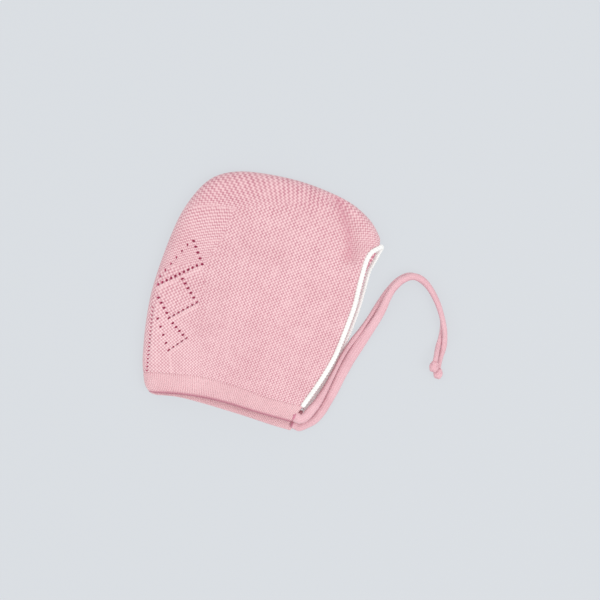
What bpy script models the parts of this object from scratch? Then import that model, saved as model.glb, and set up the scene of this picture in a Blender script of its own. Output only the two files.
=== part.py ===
# Baby bonnet, knitted, lying flat on its side: a hollow hood folded in two layers,
# a ribbed neck band, a knitted edging round the face and two tubular ties with knots.
# Metres. x points to the face, y to the crown and z up. The origin lies under the middle
# of the hood, on the flat outer face of its lower layer.

import math
from collections import namedtuple

import bmesh
import bpy
import numpy as np
from mathutils import Vector

# Hood
hood_depth = 0.1425
hood_height = 0.157
knit_wall = 0.0022
seam_gap = 0.0003

# Heights of the upper layer above the surface, at the open edges and at its fullest
rim_height = 0.0115
belly_height = 0.0215
fold_height = 0.0055
fold_roundness = 1.3
crease_depth = 0.0035
crease_width = 0.006

# Eyelets
eyelet_width = 0.0018
eyelet_sides = 6

# Neck band, edging, ties and knots
band_wall = 0.0026
trim_diameter = 0.0034
trim_end_clearance = 0.0011
tie_diameter = 0.0046
knot_diameter = 0.0062
knot_length = 0.0058
tail_diameter = 0.0038
tail_length = 0.0008

# Fineness of the meshes
face_sections = 20
neck_sections = 17
rows_per_layer = 12
band_columns = 24
band_rows = 3
tie_point_step = 0.0055

# forward is a share of hood_depth, up is a share of hood_height
Plan = namedtuple("Plan", "forward up")
EyeletRun = namedtuple("EyeletRun", "start end count")
RoutePoint = namedtuple("RoutePoint", "x y z")

# The fold, from the face opening over the crown and down the back to the neck band
hood_fold = [
    Plan(0.545, 0.297), Plan(0.533, 0.335), Plan(0.467, 0.399), Plan(0.346, 0.454),
    Plan(0.138, 0.490), Plan(-0.077, 0.490), Plan(-0.213, 0.464), Plan(-0.303, 0.406),
    Plan(-0.373, 0.289), Plan(-0.412, 0.153), Plan(-0.443, -0.060), Plan(-0.442, -0.214),
    Plan(-0.423, -0.366), Plan(-0.406, -0.431),
]
# The fold of the neck band goes on round the nape
band_fold = [Plan(-0.406, -0.431), Plan(-0.393, -0.466), Plan(-0.380, -0.488), Plan(-0.357, -0.507)]

# The edges of the face opening, from the crown down to the neck
upper_face_edge = [
    Plan(0.545, 0.297), Plan(0.505, 0.271), Plan(0.486, 0.232), Plan(0.479, 0.178),
    Plan(0.474, 0.096), Plan(0.467, 0.011), Plan(0.437, -0.147), Plan(0.420, -0.221),
    Plan(0.384, -0.313), Plan(0.334, -0.431),
]
lower_face_edge = [
    Plan(0.545, 0.297), Plan(0.528, 0.237), Plan(0.509, 0.182), Plan(0.502, 0.096),
    Plan(0.491, 0.001), Plan(0.457, -0.155), Plan(0.441, -0.215), Plan(0.402, -0.319),
    Plan(0.338, -0.456),
]

# The seam between the hood and the neck band, from the face back to the nape
upper_neck_seam = [
    Plan(0.334, -0.431), Plan(0.294, -0.431), Plan(0.175, -0.427), Plan(0.034, -0.408),
    Plan(-0.136, -0.399), Plan(-0.302, -0.415), Plan(-0.406, -0.431),
]
lower_neck_seam = [
    Plan(0.338, -0.456), Plan(0.232, -0.455), Plan(0.112, -0.443), Plan(-0.004, -0.434),
    Plan(-0.119, -0.426), Plan(-0.232, -0.422), Plan(-0.323, -0.427), Plan(-0.406, -0.431),
]

# The lower edge of the neck band, from the face back to the nape
upper_hem = [
    Plan(0.312, -0.503), Plan(0.139, -0.493), Plan(-0.033, -0.480), Plan(-0.201, -0.485),
    Plan(-0.340, -0.504), Plan(-0.357, -0.507),
]
lower_hem = [
    Plan(0.319, -0.540), Plan(0.229, -0.534), Plan(0.113, -0.522), Plan(-0.004, -0.512),
    Plan(-0.119, -0.504), Plan(-0.233, -0.501), Plan(-0.338, -0.512), Plan(-0.357, -0.507),
]

# The upper layer is fullest at the belly and dips along a crease near the crown
belly_centre = Plan(0.02, -0.01)
belly_spread = Plan(0.31, 0.31)
crease_line = [Plan(0.312, 0.447), Plan(0.370, 0.360), Plan(0.410, 0.273), Plan(0.417, 0.222)]

# Pointelle: three open diamonds beside the back, the same on both layers
diamond_eyelets = [
    EyeletRun(Plan(-0.301, 0.152), Plan(-0.239, 0.064), 5),
    EyeletRun(Plan(-0.325, 0.131), Plan(-0.419, -0.022), 6),
    EyeletRun(Plan(-0.262, 0.054), Plan(-0.420, -0.057), 10),
    EyeletRun(Plan(-0.316, -0.013), Plan(-0.245, -0.080), 5),
    EyeletRun(Plan(-0.227, -0.097), Plan(-0.338, -0.184), 7),
    EyeletRun(Plan(-0.406, -0.111), Plan(-0.353, -0.166), 4),
    EyeletRun(Plan(-0.316, -0.203), Plan(-0.259, -0.242), 4),
    EyeletRun(Plan(-0.241, -0.254), Plan(-0.309, -0.317), 5),
    EyeletRun(Plan(-0.389, -0.197), Plan(-0.328, -0.290), 4),
]
# The column of eyelets down the centre back shows on the upper layer only
back_eyelets = EyeletRun(Plan(-0.423, -0.155), Plan(-0.389, -0.420), 17)

# The ties' routes, laid by hand on the surface, from the band's front corners to the knots
near_tie_route = [
    RoutePoint(0.0473, -0.0762, 0.0100), RoutePoint(0.0499, -0.0769, 0.0098),
    RoutePoint(0.0532, -0.0749, 0.0090), RoutePoint(0.0563, -0.0698, 0.0076),
    RoutePoint(0.0597, -0.0632, 0.0062), RoutePoint(0.0625, -0.0549, 0.0054),
    RoutePoint(0.0648, -0.0463, 0.0051), RoutePoint(0.0669, -0.0381, 0.0051),
    RoutePoint(0.0692, -0.0295, 0.0049), RoutePoint(0.0727, -0.0200, 0.0036),
    RoutePoint(0.0771, -0.0106, 0.0025), RoutePoint(0.0817, -0.0005, 0.0023),
    RoutePoint(0.0858, 0.0102, 0.0023), RoutePoint(0.0893, 0.0189, 0.0023),
    RoutePoint(0.0953, 0.0277, 0.0023), RoutePoint(0.1034, 0.0316, 0.0023),
    RoutePoint(0.1144, 0.0272, 0.0023), RoutePoint(0.1233, 0.0168, 0.0023),
    RoutePoint(0.1278, 0.0070, 0.0023), RoutePoint(0.1287, -0.0040, 0.0023),
    RoutePoint(0.1284, -0.0100, 0.0030), RoutePoint(0.1285, -0.0145, 0.0060),
    RoutePoint(0.1288, -0.0180, 0.0076), RoutePoint(0.1291, -0.0212, 0.0078),
]
far_tie_route = [
    RoutePoint(0.0484, -0.0818, 0.0023), RoutePoint(0.0508, -0.0822, 0.0023),
    RoutePoint(0.0550, -0.0794, 0.0023), RoutePoint(0.0596, -0.0754, 0.0023),
    RoutePoint(0.0631, -0.0695, 0.0023), RoutePoint(0.0659, -0.0628, 0.0023),
    RoutePoint(0.0681, -0.0558, 0.0023), RoutePoint(0.0702, -0.0480, 0.0023),
    RoutePoint(0.0722, -0.0396, 0.0023), RoutePoint(0.0747, -0.0311, 0.0023),
    RoutePoint(0.0780, -0.0223, 0.0024), RoutePoint(0.0815, -0.0135, 0.0030),
    RoutePoint(0.0849, -0.0049, 0.0045), RoutePoint(0.0877, 0.0035, 0.0056),
    RoutePoint(0.0899, 0.0123, 0.0067), RoutePoint(0.0930, 0.0198, 0.0072),
    RoutePoint(0.0970, 0.0260, 0.0074), RoutePoint(0.1030, 0.0306, 0.0075),
    RoutePoint(0.1097, 0.0301, 0.0075), RoutePoint(0.1160, 0.0257, 0.0075),
    RoutePoint(0.1223, 0.0182, 0.0075), RoutePoint(0.1271, 0.0101, 0.0075),
    RoutePoint(0.1307, 0.0021, 0.0069), RoutePoint(0.1331, -0.0050, 0.0045),
    RoutePoint(0.1339, -0.0110, 0.0027), RoutePoint(0.1334, -0.0170, 0.0031),
    RoutePoint(0.1331, -0.0215, 0.0032), RoutePoint(0.1332, -0.0250, 0.0032),
]

knit_pink = (0.78, 0.45, 0.50, 1.0)
rib_pink = (0.76, 0.43, 0.48, 1.0)
tie_pink = (0.80, 0.50, 0.54, 1.0)
trim_white = (0.90, 0.90, 0.86, 1.0)
yarn_roughness = 0.9


def remove_all_objects():
    for thing in list(bpy.data.objects):
        bpy.data.objects.remove(thing, do_unlink=True)


def new_collection(name):
    group = bpy.data.collections.new(name)
    bpy.context.scene.collection.children.link(group)
    return group


def yarn_material(name, colour):
    material = bpy.data.materials.new(name)
    material.use_nodes = True
    shader = material.node_tree.nodes["Principled BSDF"]
    shader.inputs["Base Color"].default_value = colour
    shader.inputs["Roughness"].default_value = yarn_roughness
    shader.inputs["Metallic"].default_value = 0.0
    return material


# A smooth curve through the points, as many fine steps along each stretch
def smooth_curve(points, steps=24):
    points = np.array(points, float)
    ends = np.vstack([2 * points[0] - points[1], points, 2 * points[-1] - points[-2]])
    curve = []
    for before, start, end, after in zip(ends, ends[1:], ends[2:], ends[3:]):
        for t in np.arange(steps) / steps:
            curve.append(0.5 * (
                2 * start + (end - before) * t
                + (2 * before - 5 * start + 4 * end - after) * t ** 2
                + (3 * start - before - 3 * end + after) * t ** 3
            ))
    return np.array(curve + [points[-1]])


def lengths_along(curve):
    return np.concatenate([[0.0], np.cumsum(np.linalg.norm(np.diff(curve, axis=0), axis=1))])


# Points of a curve at the given shares of its length
def at_shares(curve, shares):
    along = lengths_along(curve)
    wanted = np.asarray(shares) * along[-1]
    return np.stack([np.interp(wanted, along, axis) for axis in curve.T], axis=1)


def in_metres(table):
    return np.array([(p.forward * hood_depth, p.up * hood_height) for p in table])


def plan_curve(table):
    return smooth_curve(in_metres(table))


def distance_to_line(plan, line):
    start = line[:-1]
    run = line[1:] - start
    offset = plan[:, None, :] - start[None, :, :]
    share = np.clip((offset * run).sum(2) / (run * run).sum(1), 0.0, 1.0)
    return np.linalg.norm(offset - share[..., None] * run, axis=2).min(axis=1)


fold_line = plan_curve(hood_fold + band_fold[1:])
crease_curve = plan_curve(crease_line)


# Height that the upper layer has away from the fold
def full_height(plan):
    centre, spread = in_metres([belly_centre, belly_spread])
    swell = np.exp(-(((plan - centre) / spread) ** 2).sum(axis=1))
    dip = np.exp(-(distance_to_line(plan, crease_curve) / crease_width) ** 2)
    return rim_height + (belly_height - rim_height) * swell - crease_depth * dip


# A quarter round: 0 on the fold, 1 from the given reach inwards
def rounding(distance, reach):
    return np.sqrt(1.0 - (1.0 - np.minimum(distance / reach, 1.0)) ** 2)


def upper_height(plan):
    rise = full_height(plan) - fold_height
    return fold_height + rise * rounding(distance_to_line(plan, fold_line), fold_roundness * rise)


def lower_height(plan):
    reach = fold_roundness * fold_height
    return fold_height * (1.0 - rounding(distance_to_line(plan, fold_line), reach))


def layer_points(plan, upper):
    plan = np.atleast_2d(plan)
    height = upper_height(plan) if upper else lower_height(plan)
    return np.column_stack([plan, height])


def outward_normal(spot, upper):
    step = 0.0002
    around = layer_points(
        np.array([spot + (step, 0), spot - (step, 0), spot + (0, step), spot - (0, step)]), upper
    )
    normal = np.cross(around[0] - around[1], around[2] - around[3])
    return Vector(normal if upper else -normal).normalized()


# Shares along the two edges, finer towards the fold
def section_shares():
    face = (np.arange(face_sections + 1) / face_sections) ** 1.4
    neck = 1.0 - (1.0 - np.arange(1, neck_sections + 1) / neck_sections) ** 1.4
    return face, neck


# Where each section meets the open edge, along the face and then along the neck
def open_edge(face_edge, neck_seam):
    face, neck = section_shares()
    return np.vstack([
        at_shares(plan_curve(face_edge), face), at_shares(plan_curve(neck_seam), neck)
    ])


# Where each section meets the fold
def fold_meets():
    curve = plan_curve(hood_fold)
    face, neck = section_shares()
    face_part = face_sections / (face_sections + neck_sections)
    return at_shares(curve, np.concatenate([face * face_part, face_part + neck * (1 - face_part)]))


# One section of a layer, from the fold to the open edge, its rows closer near the fold
def section_points(fold_spot, edge_spot, upper):
    crowding = 1.0 + 0.7 * min(1.0, np.linalg.norm(edge_spot - fold_spot) / (0.6 * hood_depth))
    shares = (np.arange(1, rows_per_layer + 1) / rows_per_layer) ** crowding
    plan = fold_spot + shares[:, None] * (edge_spot - fold_spot)
    return layer_points(plan, upper)


def mesh_object(name, mesh, group, material):
    thing = bpy.data.objects.new(name, mesh)
    group.objects.link(thing)
    mesh.materials.append(material)
    mesh.shade_smooth()
    mesh.set_sharp_from_angle(angle=math.radians(50))
    return thing


# An open surface whose rows of points run side by side, with its faces to the left of the rows
def sheet_mesh(name, rows):
    shell = bmesh.new()
    verts = [[shell.verts.new(p) for p in row] for row in rows]
    for row, next_row in zip(verts, verts[1:]):
        for a, b, c, d in zip(row, row[1:], next_row[1:], next_row):
            shell.faces.new((a, b, c, d))
    bmesh.ops.remove_doubles(shell, verts=shell.verts, dist=0.00001)
    mesh = bpy.data.meshes.new(name)
    shell.to_mesh(mesh)
    shell.free()
    return mesh


def thicken(thing, wall):
    solid = thing.modifiers.new("wall", "SOLIDIFY")
    solid.thickness = wall
    solid.offset = -1.0
    solid.use_quality_normals = True


def build_eyelet_cutters(group):
    cutters = bmesh.new()
    runs = [(run, upper) for run in diamond_eyelets for upper in (True, False)]
    runs.append((back_eyelets, True))
    for run, upper in runs:
        start, end = in_metres([run.start, run.end])
        for share in np.linspace(0.0, 1.0, run.count):
            spot = start + share * (end - start)
            place = Vector(layer_points(spot, upper)[0])
            turn = outward_normal(spot, upper).to_track_quat("Z", "Y").to_matrix().to_4x4()
            turn.translation = place
            bmesh.ops.create_cone(
                cutters, cap_ends=True, segments=eyelet_sides, radius1=eyelet_width / 2,
                radius2=eyelet_width / 2, depth=3 * knit_wall, matrix=turn,
            )
    mesh = bpy.data.meshes.new("eyelet_cutters")
    cutters.to_mesh(mesh)
    cutters.free()
    thing = bpy.data.objects.new("eyelet_cutters", mesh)
    group.objects.link(thing)
    thing.hide_render = True
    thing.display_type = "WIRE"
    return thing


# The hood: sections from the upper edge over the fold to the lower edge, thickened inwards
def build_hood(group, cutters, material):
    fold = fold_meets()
    upper_edge = open_edge(upper_face_edge, upper_neck_seam)
    lower_edge = open_edge(lower_face_edge, lower_neck_seam)
    rows = []
    for on_fold, above, below in zip(fold, upper_edge, lower_edge):
        middle = np.array([[on_fold[0], on_fold[1], fold_height]])
        upper = section_points(on_fold, above, True)[::-1]
        lower = section_points(on_fold, below, False)
        rows.append(np.vstack([upper, middle, lower]))
    hood = mesh_object("hood", sheet_mesh("hood", rows), group, material)
    thicken(hood, knit_wall)
    cut = hood.modifiers.new("eyelets", "BOOLEAN")
    cut.operation = "DIFFERENCE"
    cut.solver = "EXACT"
    cut.object = cutters
    return hood


# The band's upper edge: below the hood's seam, and forward under the end of the edging
def band_top_line(neck_seam):
    line = in_metres(neck_seam)
    ahead = (line[0] - line[1]) / np.linalg.norm(line[0] - line[1])
    line[0] = line[0] + ahead * (seam_gap + trim_diameter / 2)
    line[:, 1] -= seam_gap
    return smooth_curve(line)


# One layer of the band, as columns from the front end to the nape, top to bottom
def band_columns_of(neck_seam, hem, upper):
    shares = 1.0 - (1.0 - np.arange(band_columns + 1) / band_columns) ** 1.5
    top = at_shares(band_top_line(neck_seam), shares)
    bottom = at_shares(plan_curve(hem), shares)
    nape = at_shares(plan_curve(band_fold) - (0, seam_gap), np.arange(band_rows + 1) / band_rows)
    columns = []
    for share, above, below in zip(shares[:-1], top, bottom):
        rows = np.arange(band_rows + 1)[:, None] / band_rows
        lean = share ** 6
        straight = above + rows * (below - above)
        curved = straight + lean * (nape - (nape[0] + rows * (nape[-1] - nape[0])))
        columns.append(layer_points(curved, upper))
    nape_column = np.column_stack([nape, np.full(len(nape), fold_height)])
    return columns, nape_column


def build_neck_band(group, material):
    upper, nape = band_columns_of(upper_neck_seam, upper_hem, True)
    lower, _ = band_columns_of(lower_neck_seam, lower_hem, False)
    rows = [*lower, nape, *upper[::-1]]
    band = mesh_object("neck_band", sheet_mesh("neck_band", rows), group, material)
    thicken(band, band_wall)
    return band


# A round cord as a curve with a bevel, through points spaced evenly along its route
def cord(name, route, diameter, group, material):
    data = bpy.data.curves.new(name, "CURVE")
    data.dimensions = "3D"
    data.bevel_depth = diameter / 2
    data.bevel_resolution = 2
    data.use_fill_caps = True
    spline = data.splines.new("POLY")
    spline.points.add(len(route) - 1)
    for point, spot in zip(spline.points, route):
        point.co = (*spot, 1.0)
    data.materials.append(material)
    thing = bpy.data.objects.new(name, data)
    group.objects.link(thing)
    return thing


def evenly_spaced(curve, step):
    count = max(2, round(lengths_along(curve)[-1] / step) + 1)
    return at_shares(curve, np.linspace(0.0, 1.0, count))


# The line beside one layer's face edge that the edging's middle follows, from crown to neck
def trim_line(face_edge, upper):
    edge = at_shares(plan_curve(face_edge), section_shares()[0])
    along = np.gradient(edge, axis=0)
    outward = np.column_stack([-along[:, 1], along[:, 0]]) / np.linalg.norm(along, axis=1)[:, None]
    reach = trim_diameter / 2 + seam_gap
    beside = edge + outward * reach
    height = upper_height(edge) - knit_wall / 2 if upper else lower_height(edge) + knit_wall / 2
    line = np.column_stack([beside, np.maximum(height, trim_diameter / 2)])
    last = line[-1] - line[-2]
    line[-1] -= last / np.linalg.norm(last) * trim_end_clearance
    return line


def build_face_trim(group, material):
    upper = trim_line(upper_face_edge, True)[::-1]
    lower = trim_line(lower_face_edge, False)
    turn = [(upper[-1] + lower[0]) / 2]
    route = np.vstack([upper[:-1], turn, lower[1:]])
    return cord("face_trim", route, trim_diameter, group, material)


# A knot: a turned ball round the tie's end with a short tail beyond it
def build_knot(name, tie_points, group, material):
    heading = Vector(tie_points[-1] - tie_points[-2]).normalized()
    inner = tie_diameter / 2 * 0.8
    profile = [(inner, 0.0)]
    for angle in np.radians([30, 60, 90, 120, 150]):
        bulge = inner + (knot_diameter / 2 - inner) * math.sin(angle)
        profile.append((bulge, knot_length * (1 - math.cos(angle)) / 2))
    profile.append((tail_diameter / 2, knot_length))
    profile.append((tail_diameter / 2, knot_length + tail_length))
    ball = bmesh.new()
    outline = [ball.verts.new((r, 0.0, -z)) for r, z in profile]
    ends = [ball.verts.new((0.0, 0.0, -profile[0][1])), ball.verts.new((0.0, 0.0, -profile[-1][1]))]
    line = [ends[0], *outline, ends[1]]
    for a, b in zip(line, line[1:]):
        ball.edges.new((a, b))
    mesh = bpy.data.meshes.new(name)
    ball.to_mesh(mesh)
    ball.free()
    knot = mesh_object(name, mesh, group, material)
    turned = knot.modifiers.new("turned", "SCREW")
    turned.steps = 12
    turned.render_steps = 12
    turned.use_merge_vertices = True
    turned.merge_threshold = 0.00001
    knot.location = Vector(tie_points[-1]) + heading * seam_gap
    knot.rotation_mode = "QUATERNION"
    knot.rotation_quaternion = (-heading).to_track_quat("Z", "Y")
    return knot


def build_bonnet():
    remove_all_objects()
    pieces = new_collection("bonnet")
    cutters = new_collection("cutters")
    knit = yarn_material("pink_knit", knit_pink)
    rib = yarn_material("pink_rib", rib_pink)
    white = yarn_material("white_edging", trim_white)
    soft_pink = yarn_material("pink_tie", tie_pink)

    build_hood(pieces, build_eyelet_cutters(cutters), knit)
    build_neck_band(pieces, rib)
    build_face_trim(pieces, white)
    for side, route in (("near", near_tie_route), ("far", far_tie_route)):
        spots = evenly_spaced(smooth_curve(route), tie_point_step)
        cord(f"tie_{side}", spots, tie_diameter, pieces, soft_pink)
        build_knot(f"knot_{side}", spots, pieces, soft_pink)


build_bonnet()
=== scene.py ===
import cmath
import math

import bpy
import numpy as np
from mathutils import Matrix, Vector
from mathutils.geometry import delaunay_2d_cdt


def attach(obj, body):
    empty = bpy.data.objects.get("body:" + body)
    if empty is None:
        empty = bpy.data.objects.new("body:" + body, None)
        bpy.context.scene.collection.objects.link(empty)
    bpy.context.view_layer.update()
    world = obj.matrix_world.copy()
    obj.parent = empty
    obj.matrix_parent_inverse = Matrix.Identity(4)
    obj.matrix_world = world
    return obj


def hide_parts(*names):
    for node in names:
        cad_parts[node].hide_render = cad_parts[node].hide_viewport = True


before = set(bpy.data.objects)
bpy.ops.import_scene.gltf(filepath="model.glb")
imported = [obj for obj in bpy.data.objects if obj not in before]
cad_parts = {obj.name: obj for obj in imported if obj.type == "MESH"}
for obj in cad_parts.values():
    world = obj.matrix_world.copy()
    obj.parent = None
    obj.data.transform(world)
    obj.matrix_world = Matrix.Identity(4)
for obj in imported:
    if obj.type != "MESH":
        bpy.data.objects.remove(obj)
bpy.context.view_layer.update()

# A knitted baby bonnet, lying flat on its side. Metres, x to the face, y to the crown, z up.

print("frame loaded")

# The camera looks straight down, turned as the photo is
photoView = {
    "over": (0.03365, 0.00041, 0.008), "turn": 12.0,
    "distance": 1.6, "widthSeen": 0.396, "sensor": 36.0,
}


def buildCamera():
    data = bpy.data.cameras.new("camera")
    data.sensor_width = photoView["sensor"]
    data.lens = photoView["sensor"] * photoView["distance"] / photoView["widthSeen"]
    data.clip_start = 0.05
    camera = bpy.data.objects.new("camera", data)
    bpy.context.collection.objects.link(camera)
    camera.location = Vector(photoView["over"]) + Vector((0, 0, photoView["distance"]))
    camera.rotation_euler = (0, 0, math.radians(photoView["turn"]))
    bpy.context.scene.camera = camera


def newMaterial(name):
    material = bpy.data.materials.new(name)
    material.use_nodes = True
    return material, material.node_tree, material.node_tree.nodes["Principled BSDF"]


# A node with its settings, and its inputs either fixed or linked
def place(tree, kind, inputs=None, **settings):
    node = tree.nodes.new(kind)
    for key, value in settings.items():
        setattr(node, key, value)
    for key, value in (inputs or {}).items():
        if isinstance(value, bpy.types.NodeSocket):
            tree.links.new(value, node.inputs[key])
        else:
            node.inputs[key].default_value = value
    return node


def calc(tree, operation, a, b=0.0, c=0.0, clamp=False):
    node = place(tree, "ShaderNodeMath", {0: a, 1: b, 2: c}, operation=operation, use_clamp=clamp)
    return node.outputs[0]


def times(tree, a, b, clamp=False):
    return calc(tree, "MULTIPLY", a, b, clamp=clamp)


# 0 below low, 1 above high, smooth between
def ramp(tree, value, low, high):
    node = place(
        tree, "ShaderNodeMapRange", {"Value": value, "From Min": low, "From Max": high},
        interpolation_type="SMOOTHSTEP",
    )
    return node.outputs["Result"]


def mixColour(tree, share, a, b, blend="MIX"):
    node = place(tree, "ShaderNodeMix", {0: share, 6: a, 7: b}, data_type="RGBA", blend_type=blend)
    return node.outputs[2]


def newGroup(name, takes, gives):
    group = bpy.data.node_groups.new(name, "ShaderNodeTree")
    kinds = {"v": "NodeSocketVector", "f": "NodeSocketFloat"}
    for label, kind, value in takes:
        socket = group.interface.new_socket(name=label, in_out="INPUT", socket_type=kinds[kind])
        if value is not None:
            socket.default_value = value
    for label, kind in gives:
        group.interface.new_socket(name=label, in_out="OUTPUT", socket_type=kinds[kind])
    return group, group.nodes.new("NodeGroupInput").outputs, group.nodes.new("NodeGroupOutput").inputs


def placeGroup(tree, group, **inputs):
    return place(tree, "ShaderNodeGroup", inputs, node_tree=group)


def attribute(tree, name):
    return place(tree, "ShaderNodeAttribute", attribute_name=name)


yarnLook = {
    "fibreScale": 2600.0, "shadeScale": 55.0, "fluffScale": 0.33,  # the fluff's is a share of the fibres'
    "fibreHeight": 0.35, "fluffHeight": 0.3, "shadeSpan": (0.3, 0.7),
    "roughness": 0.88, "specular": 0.25, "sheenRoughness": 0.5,
}


# Yarn: fine twisted fibres, loose fluff and slow changes of shade
def buildYarnGroup():
    group, taken, given = newGroup(
        "yarn",
        [("Place", "v", None), ("Fibre Scale", "f", yarnLook["fibreScale"]),
         ("Shade Scale", "f", yarnLook["shadeScale"])],
        [("Fibre", "f"), ("Fluff", "f"), ("Shade", "f")],
    )
    fibre = place(group, "ShaderNodeTexNoise", {
        "Vector": taken["Place"], "Scale": taken["Fibre Scale"], "Detail": 3.0, "Roughness": 0.65,
    })
    fluff = place(group, "ShaderNodeTexNoise", {
        "Vector": taken["Place"], "Scale": times(group, taken["Fibre Scale"], yarnLook["fluffScale"]),
        "Detail": 4.0, "Roughness": 0.7, "Distortion": 1.2,
    })
    shade = place(group, "ShaderNodeTexNoise", {
        "Vector": taken["Place"], "Scale": taken["Shade Scale"], "Detail": 3.0, "Roughness": 0.55,
    })
    for label, node in {"Fibre": fibre, "Fluff": fluff, "Shade": shade}.items():
        group.links.new(node.outputs["Fac"], given[label])
    return group


mossStitch = {
    "beadsAcross": 0.25, "beadsAlong": 0.24,
    "beadShare": (-6.0, 1.35),  # for each unit of lean, and without any
    "gapDepth": (4.0, 0.6),
    "gap": (0.12, 0.88), "bead": (0.14, 0.45),  # where the gaps and beads set in and are full
}


# Moss stitch: a bead of yarn on each stitch, with a painted highlight on its top and dark gaps
# of painted shade between them, and a lean that joins the gaps into slanting lines. The stitch
# counts come in x and y, the share of the lean in z.
def buildMossGroup():
    group, taken, given = newGroup(
        "mossStitch", [("Stitch", "v", None)], [("Gap", "f"), ("Bead", "f"), ("Relief", "f"), ("Own", "f")],
    )
    middle = place(group, "ShaderNodeVectorMath", {0: taken["Stitch"], 1: (0.5, 0.5, 0.0)}, operation="ADD")
    cell = place(group, "ShaderNodeVectorMath", {0: middle.outputs[0]}, operation="FLOOR")
    own = place(group, "ShaderNodeTexWhiteNoise", {"Vector": cell.outputs[0]}, noise_dimensions="2D")
    across, along, lean = place(group, "ShaderNodeSeparateXYZ", {0: taken["Stitch"]}).outputs
    acrossWave = calc(group, "COSINE", times(group, across, math.tau))
    alongWave = times(group, calc(group, "COSINE", times(group, along, math.tau)), mossStitch["beadsAlong"])
    beads = calc(group, "MULTIPLY_ADD", acrossWave, mossStitch["beadsAcross"], alongWave)
    slant = calc(group, "SINE", times(group, calc(group, "SUBTRACT", across, along), math.pi))
    share = calc(group, "MULTIPLY_ADD", lean, *mossStitch["beadShare"])
    relief = calc(group, "MULTIPLY_ADD", beads, share, times(group, lean, slant))
    gap = ramp(group, calc(group, "SUBTRACT", 0.5, relief), *mossStitch["gap"])
    gap = times(group, gap, calc(group, "MULTIPLY_ADD", lean, *mossStitch["gapDepth"]))
    bead = ramp(group, relief, *mossStitch["bead"])
    found = {"Gap": gap, "Bead": bead, "Relief": relief, "Own": own.outputs["Value"]}
    for label, socket in found.items():
        group.links.new(socket, given[label])
    return group


legSlope = 1.3  # stitches that a leg of the V rises over the width of a wale
grooveWidth = 0.16


# Stocking stitch: legs in Vs along each wale. The wale count comes in x, the stitch count in y.
def buildStockingGroup():
    group, taken, given = newGroup(
        "stockingStitch", [("Stitch", "v", None)], [("Leg", "f"), ("Groove", "f")]
    )
    wale, along, _ = place(group, "ShaderNodeSeparateXYZ", {0: taken["Stitch"]}).outputs
    fromMiddle = calc(group, "ABSOLUTE", calc(group, "SUBTRACT", calc(group, "FRACT", wale), 0.5))
    slant = calc(group, "ADD", along, times(group, fromMiddle, legSlope))
    wave = calc(group, "COSINE", times(group, slant, math.tau))
    group.links.new(calc(group, "MULTIPLY_ADD", wave, 0.5, 0.5), given["Leg"])
    edge = calc(group, "SUBTRACT", 0.5, fromMiddle)
    group.links.new(ramp(group, edge, grooveWidth, 0.0), given["Groove"])
    return group


def finishYarn(tree, shader, colour, height, depth, strength):
    bump = place(tree, "ShaderNodeBump", {
        "Height": height, "Distance": depth, "Strength": strength,
    })
    tree.links.new(colour, shader.inputs["Base Color"])
    tree.links.new(bump.outputs["Normal"], shader.inputs["Normal"])


def setCloth(shader, sheen, tint):
    shader.inputs["Roughness"].default_value = yarnLook["roughness"]
    shader.inputs["Specular IOR Level"].default_value = yarnLook["specular"]
    shader.inputs["Sheen Weight"].default_value = sheen
    shader.inputs["Sheen Roughness"].default_value = yarnLook["sheenRoughness"]
    shader.inputs["Sheen Tint"].default_value = tint


# The yarn in the object's own space
def yarnOver(tree, groups):
    space = place(tree, "ShaderNodeTexCoord").outputs["Object"]
    return placeGroup(tree, groups["yarn"], Place=space).outputs


# Fibres and fluff on top of the stitches
def withFibres(tree, yarn, height):
    height = calc(tree, "MULTIPLY_ADD", yarn["Fibre"], yarnLook["fibreHeight"], height)
    return calc(tree, "MULTIPLY_ADD", yarn["Fluff"], yarnLook["fluffHeight"], height)


# Slow changes of shade
def withShade(tree, yarn, colour, darker, share):
    shade = ramp(tree, yarn["Shade"], *yarnLook["shadeSpan"])
    return mixColour(tree, times(tree, shade, share), colour, darker, "MULTIPLY")


# The gap colour is painted shade in the hollows between the stitches and along the crease, and also the
# darker tone of the slow changes; the bead colour is a painted highlight on each stitch; the two colours of
# the inner faces are painted shade, and their glows a painted glow.
pinkKnit = {
    "ground": (0.91, 0.635, 0.66, 1.0),
    "gap": (0.54, 0.20, 0.27, 1.0),
    "bead": (1.0, 0.80, 0.82, 1.0),
    "ridge": (0.94, 0.67, 0.69, 1.0),
    "shadedInside": (0.60, 0.16, 0.25, 1.0),
    "shadedInsideGap": (0.40, 0.07, 0.14, 1.0),
    "glow": (0.29, 0.055, 0.115, 1.0),
    "mouthGlow": (0.20, 0.09, 0.11, 1.0),
    "tint": (1.0, 0.9, 0.9, 1.0),
    "gapShare": 0.76, "beadShare": 0.4, "ridgeShare": 0.2, "creaseShare": 0.42, "shadeShare": 0.10,
    "ridgePlain": 0.6,  # how far the stitches fade on a ridge
    "evenPart": 0.3, "ownPart": 0.5, "fluffPart": 0.9,  # of each stitch's strength
    "sheen": 0.4, "insideSheen": 0.1, "throughLight": 0.6, "weaveScale": 620.0, "weaveSpan": (0.25, 0.65),
    "depth": 0.00035, "insideDepth": 0.0004, "strength": 0.6,
}


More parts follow.
